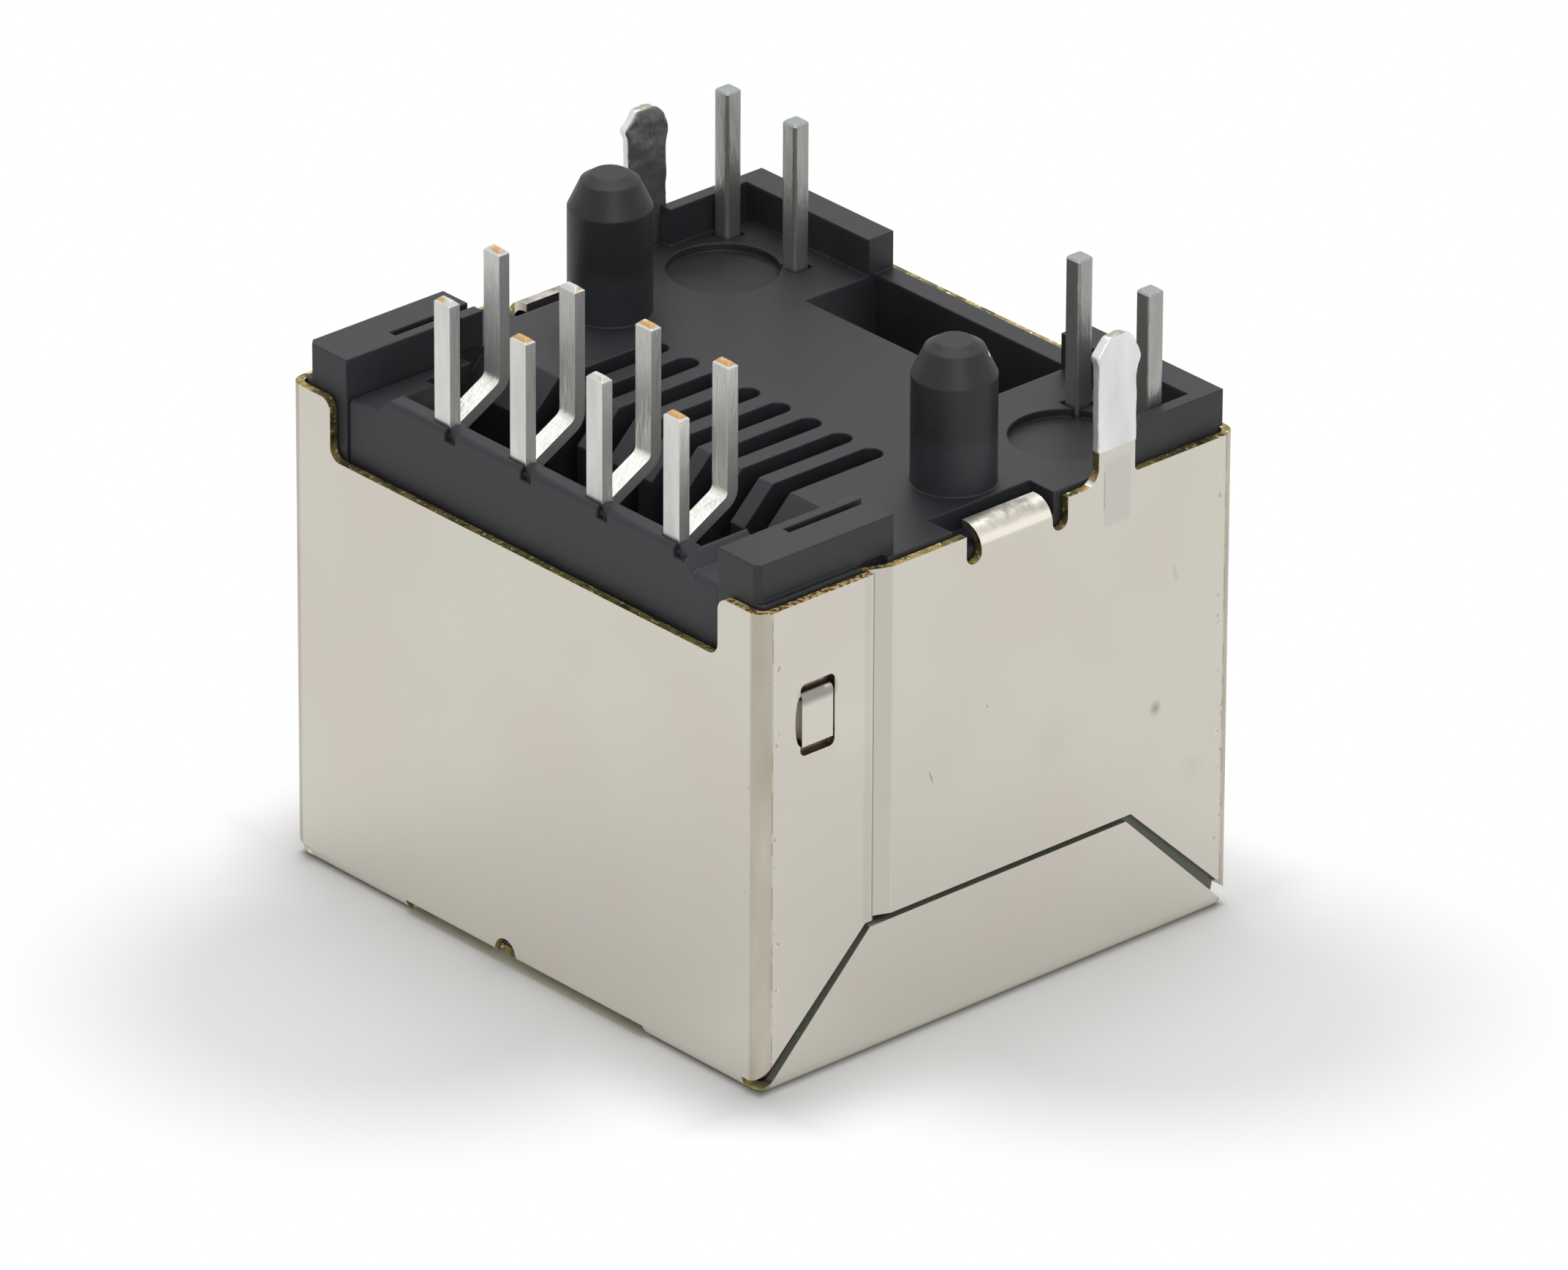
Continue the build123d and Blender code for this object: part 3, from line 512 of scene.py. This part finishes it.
def makeShieldMaterial(look):
    material, tree, shader = startMaterial("shieldNickel")
    at, way = readPlace(tree)
    tone = useGroup(tree, toneGroup, look["plateNoise"])
    rough = useGroup(tree, toneGroup, look["edgeNoise"])
    sheetFrom = jack["halfWidth"] - jack["sheet"] * look["sidePanelFrom"]
    sideward = calc(tree, "GREATER_THAN", absolute(tree, at["X"]), sheetFrom)
    plate = plateColor(tree, look, at, sideward, tone)
    plate = markSides(tree, look, at, sideward, plate)
    onHook = boxMask(tree, at, *look["hookTop"])
    # painted highlight band on the rolled top, by the normal's upward part
    hookHighlightIn = rampBetween(tree, way["Z"], *look["hookHighlightIn"])
    hookHighlightOut = rampBetween(tree, way["Z"], *look["hookHighlightOut"])
    plate = paint(tree, plate, look["hookHighlight"], hookHighlightIn, hookHighlightOut, onHook)
    # scuffs, with painted shade where the rolled top faces up
    scuffAndShade = contrast(tree, rough["Cloud"], *look["scuffContrast"])
    scuffAndShade = combine(tree, "MULTIPLY", scuffAndShade, rampBetween(tree, way["Z"], *look["shadeFacing"]), onHook)
    plate = paint(tree, plate, look["shadow"], scuffAndShade, look["scuffAndShadeStrength"])
    edge = useGroup(tree, cutEdgeGroup, look["cutEdges"])
    surface = blendColor(tree, edge["Mask"], plate, rawColor(tree, look, at, sideward, rough))
    atEnd = rampBetween(tree, at["X"], look["cornerFrom"], look["cornerFrom"] + jack["sheet"])
    inBand = boxMask(tree, at, *look["cornerBand"])
    surface = paint(tree, surface, look["cornerOlive"], inBand, atEnd, look["cornerStrength"])
    link(tree, surface, shader.inputs["Base Color"])
    roughness = calc(tree, "MULTIPLY_ADD", tone["Cloud"], look["roughnessCloud"], look["roughness"])
    roughness = calc(tree, "MULTIPLY_ADD", scuffAndShade, look["scuffRoughness"], roughness)
    roughness = blendValue(tree, edge["Mask"], roughness, look["edgeRoughness"])
    link(tree, roughness, shader.inputs["Roughness"])
    height = calc(tree, "MULTIPLY", rough["Cloud"], edge["Mask"])
    height = calc(tree, "MULTIPLY_ADD", tone["Grain"], look["grainHeight"], height)
    addBump(tree, shader, height, *look["bump"])
    shader.inputs["Metallic"].default_value = 1.0
    return material


# black moulded plastic of the housing and the carrier
plasticLook = {
    "base": (0.020, 0.021, 0.025, 1),
    "patchy": (0.036, 0.038, 0.044, 1),
    "noise": {"Cloud Scale": 420.0, "Grain Scale": 7000.0},
    "cloudGain": 1.4,
    "housingWorn": 0.45,
    "carrierWorn": 0.5,
    "roughness": 0.48,
    "roughnessCloud": 0.2,
    "specular": 0.35,
    "softEdge": 0.07 * mm,
    "bump": (0.5, 0.012 * mm),
    "dust": (0.35, 0.35, 0.36, 1),
    "specks": {"Scale": 2400.0, "Size": 0.12, "Share": 0.05},
    "dustStrength": 0.12,
    # x, y, z and size of each fleck of lint
    "fibre": (0.90, 0.90, 0.92, 1),
    "lint": ((6.235, 1.12, 14.95, 0.055), (6.19, -0.30, 14.67, 0.022), (6.7, -4.4, 12.75, 0.03)),
    "lintRagged": 2.5,
    # a painted shade line along the fold at the head of the ramp, as a box in y and z and a range in x
    "nearBlack": (0.004, 0.004, 0.005, 1),
    "rampHead": (-2.6, 12.0, 0.006, 0.12, 0.012),
    "creaseFrom": 3.95 * mm,
    "creaseTo": 5.2 * mm,
    "pegFrom": 12.85 * mm,
    "pegTo": 13.4 * mm,
    "pegDarker": 0.5,
    # painted shade: faces that look up are darker
    "facingUp": 0.9,
    "topShade": 0.4,
    # what shows through the gap over each flap
    "slotGrey": (0.13, 0.145, 0.12, 1),
    "slotTop": 3.6 * mm,
    "slotFrom": 6.9 * mm,
}


def makePlasticMaterial(name, look, wornShare):
    material, tree, shader = startMaterial(name)
    spot = readSpot(tree)
    at, way = readPlace(tree)
    tone = useGroup(tree, toneGroup, look["noise"])
    cloud = contrast(tree, tone["Cloud"], look["cloudGain"], wornShare)
    base = blendColor(tree, cloud, look["base"], look["patchy"])
    specks = useGroup(tree, speckGroup, look["specks"])
    base = paint(tree, base, look["dust"], specks["Mask"], look["dustStrength"])
    # painted shade line along the fold at the head of the ramp
    past = calc(tree, "GREATER_THAN", at["X"], look["creaseFrom"])
    before = calc(tree, "LESS_THAN", at["X"], look["creaseTo"])
    base = paint(tree, base, look["nearBlack"], boxMask(tree, at, *look["rampHead"]), past, before)
    onPeg = rampBetween(tree, at["Z"], look["pegFrom"], look["pegTo"])
    base = paint(tree, base, look["nearBlack"], onPeg, look["pegDarker"])
    # painted shade on faces that look up
    facingUp = calc(tree, "GREATER_THAN", way["Z"], look["facingUp"])
    base = paint(tree, base, look["nearBlack"], facingUp, look["topShade"])
    low = calc(tree, "LESS_THAN", at["Z"], look["slotTop"])
    aside = calc(tree, "GREATER_THAN", absolute(tree, at["X"]), look["slotFrom"])
    base = paint(tree, base, look["slotGrey"], low, aside)
    for *center, reach in look["lint"]:
        apart = addNode(tree, "ShaderNodeVectorMath", operation="DISTANCE")
        link(tree, spot, apart.inputs[0])
        apart.inputs[1].default_value = [part * mm for part in center]
        ragged = calc(tree, "MULTIPLY_ADD", tone["Grain"], reach * look["lintRagged"] * mm, reach * mm)
        fleck = calc(tree, "LESS_THAN", apart.outputs["Value"], ragged)
        base = paint(tree, base, look["fibre"], fleck)
    link(tree, base, shader.inputs["Base Color"])
    roughness = calc(tree, "MULTIPLY_ADD", tone["Cloud"], look["roughnessCloud"], look["roughness"])
    link(tree, roughness, shader.inputs["Roughness"])
    addBump(tree, shader, tone["Grain"], *look["bump"], softEdge(tree, look["softEdge"]))
    setInputs(shader, {"Metallic": 0.0, "Specular IOR Level": look["specular"]})
    return material


# tin plate, with bare metal where the ends were cut off, a painted highlight on the sloping necks and a
# painted dark reflection on the left side's faces towards the middle; the leads and the tabs differ in
# part
tinLook = {
    "bright": (0.74, 0.74, 0.715, 1),
    "dull": (0.54, 0.54, 0.52, 1),
    "noise": {"Cloud Scale": 1400.0, "Grain Scale": 9000.0, "Stretch": (1.0, 1.0, 0.25)},
    "contrast": (2.2, 0.35),
    "roughness": 0.38,
    "roughnessCloud": 0.3,
    "metal": 0.75,
    "softEdge": 0.03 * mm,
    "bump": (0.5, 0.03 * mm),
    # a painted highlight on the sloping necks of the contacts, told by height and by the normal's
    # upward part
    "neck": (0.92, 0.905, 0.845, 1),
    "neckContrast": (2.6, 0.15),
    "neckLow": 11.3 * mm,
    "neckHigh": 12.4 * mm,
    "neckSlope": 0.55,
    "neckSlopeRange": 0.35,
    # a painted dark reflection on the face towards the middle, on the left side only
    "inwardReflection": (0.10, 0.115, 0.11, 1),
    "inwardFacing": (0.1, 0.5),
    "inwardStrength": 0.0,
    "copper": (0.62, 0.37, 0.17, 1),
    "copperShare": 0.05,
    "copperSoft": 0.05,
    "tip": 15.235 * mm,
    "tipFacing": 0.3,
}
leadLook = dict(
    tinLook,
    bright=(0.43, 0.43, 0.41, 1),
    dull=(0.28, 0.285, 0.27, 1),
    copper=(0.34, 0.36, 0.36, 1),
    copperShare=0.3,
    neck=(0.43, 0.43, 0.41, 1),
    roughness=0.34,
    metal=0.8,
    tip=15.45 * mm,
)
tabLook = dict(
    tinLook,
    bright=(0.85, 0.855, 0.85, 1),
    dull=(0.66, 0.66, 0.655, 1),
    inwardStrength=0.88,
    copper=(0.42, 0.40, 0.32, 1),
    copperShare=0.3,
    neck=(0.85, 0.855, 0.85, 1),
    roughness=0.34,
    metal=0.6,
    softEdge=0.02 * mm,
    tip=15.3 * mm,
)


def makeTinMaterial(name, look):
    material, tree, shader = startMaterial(name)
    at, way = readPlace(tree)
    tone = useGroup(tree, toneGroup, look["noise"])
    cloud = contrast(tree, tone["Cloud"], *look["contrast"])
    base = blendColor(tree, cloud, look["bright"], look["dull"])
    # painted highlight on the sloping necks, mottled
    slanted = calc(tree, "COMPARE", way["Z"], look["neckSlope"], look["neckSlopeRange"])
    above = calc(tree, "GREATER_THAN", at["Z"], look["neckLow"])
    below = calc(tree, "LESS_THAN", at["Z"], look["neckHigh"])
    dented = contrast(tree, tone["Cloud"], *look["neckContrast"])
    neck = blendColor(tree, dented, look["neck"], look["dull"])
    base = paint(tree, base, neck, slanted, above, below)
    # painted dark reflection on faces towards the middle, left side only
    onLeft = calc(tree, "LESS_THAN", at["X"], 0.0)
    inwardReflection = rampBetween(tree, way["X"], *look["inwardFacing"])
    base = paint(tree, base, look["inwardReflection"], onLeft, inwardReflection, look["inwardStrength"])
    high = calc(tree, "GREATER_THAN", at["Z"], look["tip"])
    up = calc(tree, "GREATER_THAN", way["Z"], look["tipFacing"])
    share, soft = look["copperShare"], look["copperSoft"]
    bare = calc(tree, "SUBTRACT", 1.0, rampBetween(tree, tone["Cloud"], share - soft, share + soft))
    base = paint(tree, base, look["copper"], high, up, bare)
    link(tree, base, shader.inputs["Base Color"])
    roughness = calc(tree, "MULTIPLY_ADD", tone["Cloud"], look["roughnessCloud"], look["roughness"])
    link(tree, roughness, shader.inputs["Roughness"])
    addBump(tree, shader, tone["Grain"], *look["bump"], softEdge(tree, look["softEdge"]))
    shader.inputs["Metallic"].default_value = look["metal"]
    return material


# lenses of the two lights: tinted epoxy, dark while unlit
lensLook = {
    "led_left": {"tint": (0.30, 0.62, 0.25, 1), "cloudTint": (0.16, 0.40, 0.14, 1)},
    "led_right": {"tint": (0.85, 0.50, 0.10, 1), "cloudTint": (0.62, 0.33, 0.05, 1)},
    "noise": {"Cloud Scale": 900.0, "Grain Scale": 5000.0},
    "contrast": (2.0, 0.5),
    "roughness": 0.2,
    "roughnessGrain": 0.2,
    "coat": 0.4,
    "coatRoughness": 0.08,
}


def makeLensMaterial(name, look):
    material, tree, shader = startMaterial(name + "Lens")
    tone = useGroup(tree, toneGroup, look["noise"])
    cloud = contrast(tree, tone["Cloud"], *look["contrast"])
    tint = blendColor(tree, cloud, look[name]["tint"], look[name]["cloudTint"])
    link(tree, tint, shader.inputs["Base Color"])
    roughness = calc(tree, "MULTIPLY_ADD", tone["Grain"], look["roughnessGrain"], look["roughness"])
    link(tree, roughness, shader.inputs["Roughness"])
    setInputs(shader, {"Metallic": 0.0, "Coat Weight": look["coat"]})
    setInputs(shader, {"Coat Roughness": look["coatRoughness"]})
    return material


def dress(node, material):
    slots = nodes[node].material_slots
    if slots:
        slots[0].material = material
    else:
        nodes[node].data.materials.append(material)


dress("shield", makeShieldMaterial(shieldLook))
dress("housing", makePlasticMaterial("housingBlack", plasticLook, plasticLook["housingWorn"]))
dress("contact_carrier", makePlasticMaterial("carrierBlack", plasticLook, plasticLook["carrierWorn"]))
contactTin = makeTinMaterial("contactTin", tinLook)
leadTin = makeTinMaterial("leadTin", leadLook)
for name in nodes:
    if name.startswith("contact_") and name != "contact_carrier":
        dress(name, contactTin)
    if "_lead_" in name:
        dress(name, leadTin)
for name in ("led_left", "led_right"):
    dress(name, makeLensMaterial(name, lensLook))
print("materials placed")

# tin left on the solder tabs where they were dipped: one lumpy sleeve a side
dipLook = {
    "x": 7.8 * mm,
    "y": 3.4 * mm,
    "foot": 12.6 * mm,
    "top": 15.335 * mm,
    "radius": 0.565 * mm,
    "thickness": 0.25 * mm,
    "rimPoints": 64,
    "voxel": 0.035 * mm,
    "smoothing": 0.5,
    "firstSmoothing": 6,
    "lastSmoothing": 2,
    "lumps": 0.05 * mm,
    "lumpSize": 0.45 * mm,
    "lumpDetail": 2,
    # y and z of each bead on the rim, how far it stands out in y, x and z, and its reach
    "beads": (
        (2.90, 14.86, -0.10, 0.02, 0.02, 0.20),
        (3.93, 14.62, 0.09, 0.01, 0.00, 0.28),
        (3.15, 15.24, -0.03, 0.01, 0.03, 0.15),
    ),
    "beadFall": 2,
}


def pickVertices(piece, test):
    bpy.ops.object.mode_set(mode="OBJECT")
    for part in (piece.data.polygons, piece.data.edges, piece.data.vertices):
        part.foreach_set("select", [False] * len(part))
    for vertex in piece.data.vertices:
        vertex.select = test(vertex.co)
    bpy.ops.object.mode_set(mode="EDIT")


def makeTabDip(side, look, material):
    bpy.ops.object.select_all(action="DESELECT")
    center = (side * look["x"], look["y"], look["top"] - look["radius"])
    bpy.ops.mesh.primitive_cylinder_add(
        vertices=look["rimPoints"],
        radius=look["radius"],
        depth=look["thickness"],
        location=center,
        rotation=(0, math.radians(90), 0),
    )
    piece = bpy.context.active_object
    piece.name = "tab_tin_left" if side < 0 else "tab_tin_right"
    bpy.ops.object.transform_apply(location=True, rotation=True, scale=True)
    pickVertices(piece, lambda point: point.z < center[2])
    bpy.ops.transform.translate(value=(0, 0, look["foot"] - center[2]))
    bpy.ops.mesh.select_all(action="SELECT")
    foot = (0, 0, look["foot"])
    bpy.ops.mesh.bisect(plane_co=foot, plane_no=(0, 0, 1), clear_inner=True, use_fill=True)
    bpy.ops.object.mode_set(mode="OBJECT")
    texture = bpy.data.textures.new(piece.name + "Lumps", "CLOUDS")
    texture.noise_scale = look["lumpSize"]
    texture.noise_depth = look["lumpDetail"]
    lumps = {"texture": texture, "texture_coords": "LOCAL", "strength": look["lumps"], "mid_level": 0.5}
    shaping = (
        ("REMESH", {"mode": "VOXEL", "voxel_size": look["voxel"]}),
        ("SMOOTH", {"factor": look["smoothing"], "iterations": look["firstSmoothing"]}),
        ("DISPLACE", lumps),
        ("SMOOTH", {"factor": look["smoothing"], "iterations": look["lastSmoothing"]}),
    )
    for kind, settings in shaping:
        modifier = piece.modifiers.new(kind.lower(), kind)
        for name, value in settings.items():
            setattr(modifier, name, value)
        bpy.ops.object.modifier_apply(modifier=modifier.name)
    for vertex in piece.data.vertices:
        for beadY, beadZ, outY, outX, outZ, reach in look["beads"]:
            away = math.hypot(vertex.co.y - beadY * mm, vertex.co.z - beadZ * mm) / (reach * mm)
            swell = math.exp(-look["beadFall"] * away * away)
            vertex.co += Vector((side * outX, outY, outZ)) * mm * swell
    bpy.ops.object.shade_smooth()
    piece.data.materials.append(material)
    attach(piece, "root")


tabTin = makeTinMaterial("tabTin", tabLook)
for side in (-1, 1):
    makeTabDip(side, dipLook, tabTin)
print("tin on the solder tabs modelled")

# pale floor that keeps the jack's shadow and turns white further out
floorLook = {
    "size": 900 * mm,
    "colour": (0.80, 0.80, 0.805, 1),
    "white": (1, 1, 1, 1),
    "roughness": 0.9,
    "mirroredLift": 0.25,
    "contactEdge": 3.0 * mm,
    # painted contact shadow on the floor under the jack's edges
    "under": (0.34, 0.35, 0.31, 1),
    "underEdge": 0.30 * mm,
    # painted shadow under the slot in the rear fold
    "foldShadow": (0.68, 0.69, 0.58, 1),
    "foldSlot": 4.0 * mm,
    "foldEdge": 0.04 * mm,
    # two soft shadows in axes turned by this angle: center along and across in mm, half sizes, depth
    "turn": 48.143,
    "shadows": ((-8.4, 5.4, 9.2, 9.5, 1.05), (8.8, 6.0, 10.0, 8.5, 1.05)),
    "shadowRange": (1.0, 0.35),
}


# how far the floor is lifted to white: least beside the jack and in the two soft shadows
def floorLift(tree, look, at, pastX, pastY):
    beyond = calc(tree, "ADD", calc(tree, "MAXIMUM", pastX, 0.0), calc(tree, "MAXIMUM", pastY, 0.0))
    lift = rampBetween(tree, beyond, 0.0, look["contactEdge"])
    cosine, sine = math.cos(math.radians(look["turn"])), math.sin(math.radians(look["turn"]))
    along = calc(tree, "MULTIPLY_ADD", at["X"], cosine, calc(tree, "MULTIPLY", at["Y"], sine))
    across = calc(tree, "MULTIPLY_ADD", at["X"], sine, calc(tree, "MULTIPLY", at["Y"], -cosine))
    for centerAlong, centerAcross, halfAlong, halfAcross, depth in look["shadows"]:
        squares = []
        sides = ((along, centerAlong, halfAlong), (across, centerAcross, halfAcross))
        for place, center, half in sides:
            part = calc(tree, "DIVIDE", calc(tree, "SUBTRACT", place, center * mm), half * mm)
            squares.append(calc(tree, "MULTIPLY", part, part))
        distance = calc(tree, "SQRT", combine(tree, "ADD", *squares))
        shade = contrast(tree, rampBetween(tree, distance, *look["shadowRange"]), depth, 0.0)
        lift = calc(tree, "MULTIPLY", lift, calc(tree, "SUBTRACT", 1.0, shade))
    return lift


def makeFloor(look):
    bpy.ops.object.select_all(action="DESELECT")
    bpy.ops.mesh.primitive_plane_add(size=look["size"], location=(0, 0, 0))
    floor = bpy.context.active_object
    floor.name = "floor"
    material, tree, shader = startMaterial("floorPale")
    setInputs(shader, {"Roughness": look["roughness"], "Specular IOR Level": 0.0})
    output = next(node for node in tree.nodes if node.type == "OUTPUT_MATERIAL")
    at = splitVector(tree, readSpot(tree))
    pastX = calc(tree, "SUBTRACT", absolute(tree, at["X"]), jack["halfWidth"])
    pastY = calc(tree, "SUBTRACT", absolute(tree, at["Y"]), jack["halfDepth"])
    gap = calc(tree, "MAXIMUM", pastX, pastY)
    # painted contact shadow under the jack's edges
    clear = rampBetween(tree, gap, -look["underEdge"], 0.0)
    ground = blendColor(tree, clear, look["under"], look["colour"])
    # painted shadow on the floor under the slotted rear fold
    inFold = calc(tree, "COMPARE", at["X"], 0.0, look["foldSlot"])
    atRear = calc(tree, "LESS_THAN", at["Y"], 0.0)
    underJack = rampBetween(tree, gap, look["foldEdge"], -look["foldEdge"])
    ground = paint(tree, ground, look["foldShadow"], inFold, atRear, underJack)
    link(tree, ground, shader.inputs["Base Color"])
    seen = addNode(tree, "ShaderNodeLightPath", 600)
    direct = calc(tree, "MAXIMUM", seen.outputs["Is Camera Ray"], seen.outputs["Is Glossy Ray"])
    lift = floorLift(tree, look, at, pastX, pastY)
    # paler where the plates mirror it
    mirrored = calc(tree, "MULTIPLY_ADD", lift, 1 - look["mirroredLift"], look["mirroredLift"])
    lift = blendValue(tree, seen.outputs["Is Glossy Ray"], lift, mirrored)
    white = addNode(tree, "ShaderNodeEmission", 800)
    setInputs(white, {"Color": look["white"], "Strength": 1.0})
    mixed = addNode(tree, "ShaderNodeMixShader", 1200)
    link(tree, calc(tree, "MULTIPLY", direct, lift), mixed.inputs["Fac"])
    link(tree, shader.outputs["BSDF"], mixed.inputs[1])
    link(tree, white.outputs["Emission"], mixed.inputs[2])
    link(tree, mixed.outputs["Shader"], output.inputs["Surface"])
    floor.data.materials.append(material)


makeFloor(floorLook)

# plain white surroundings, which light the jack less than they show
worldLook = {"ambient": 0.45, "seen": 1.0, "colour": (1, 1, 1, 1)}


def makeWorld(look):
    world = bpy.data.worlds.new("studio")
    bpy.context.scene.world = world
    world.use_nodes = True
    tree = world.node_tree
    tree.nodes.clear()
    output = addNode(tree, "ShaderNodeOutputWorld", 600)
    background = addNode(tree, "ShaderNodeBackground", 400)
    seen = addNode(tree, "ShaderNodeLightPath", -200)
    direct = calc(tree, "MAXIMUM", seen.outputs["Is Camera Ray"], seen.outputs["Is Glossy Ray"])
    feed(tree, background.inputs["Color"], look["colour"])
    feed(tree, background.inputs["Strength"], blendValue(tree, direct, look["ambient"], look["seen"]))
    link(tree, background.outputs["Background"], output.inputs["Surface"])


makeWorld(worldLook)

# square lamps that face the origin; place and size in millimetres
lampLook = {
    "overheadSoftbox": {"place": (-60, 60, 320), "size": 260, "watts": 0.6},
    "sideSoftbox": {"place": (260, -140, 160), "size": 160, "watts": 0.25},
}


def makeLamps(look):
    for name, values in look.items():
        data = bpy.data.lights.new(name, "AREA")
        data.shape = "SQUARE"
        data.size = values["size"] * mm
        data.energy = values["watts"]
        lamp = bpy.data.objects.new(name, data)
        place = Vector(values["place"]) * mm
        turn = place.to_track_quat("Z", "Y").to_matrix().to_4x4()
        lamp.matrix_world = Matrix.Translation(place) @ turn
        bpy.context.scene.collection.objects.link(lamp)


makeLamps(lampLook)

# camera at the photograph's angle; it aims at a point beside, along and above the origin
cameraLook = {
    "azimuth": 48.143,
    "elevation": 26.613,
    "roll": 0.255,
    "distance": 390.451 * mm,
    "aside": 0.586 * mm,
    "along": -0.1 * mm,
    "height": 6.136 * mm,
    "focalPixels": 23960.75,
    "imageWidth": 2144,
    "sensor": 36.0,
    "nearest": 10 * mm,
    "farthest": 5000 * mm,
}


def makeCamera(look):
    azimuth, elevation, roll = (math.radians(look[key]) for key in ("azimuth", "elevation", "roll"))
    flat = math.cos(elevation)
    back = Vector((math.sin(azimuth) * flat, -math.cos(azimuth) * flat, math.sin(elevation)))
    right = Vector((math.cos(azimuth), math.sin(azimuth), 0))
    up = back.cross(right)
    rolledRight = right * math.cos(roll) + up * math.sin(roll)
    rolledUp = up * math.cos(roll) - right * math.sin(roll)
    target = right * look["aside"] + Vector((0, look["along"], look["height"]))
    data = bpy.data.cameras.new("photoCamera")
    data.sensor_fit = "HORIZONTAL"
    data.sensor_width = look["sensor"]
    data.lens = look["focalPixels"] / look["imageWidth"] * look["sensor"]
    data.clip_start = look["nearest"]
    data.clip_end = look["farthest"]
    data.dof.use_dof = False
    camera = bpy.data.objects.new("photoCamera", data)
    turn = Matrix((rolledRight, rolledUp, back)).transposed().to_4x4()
    camera.matrix_world = Matrix.Translation(target + back * look["distance"]) @ turn
    bpy.context.scene.collection.objects.link(camera)
    bpy.context.scene.camera = camera


makeCamera(cameraLook)
bpy.context.scene.view_settings.view_transform = "Standard"
print("stage, lamps and camera placed")
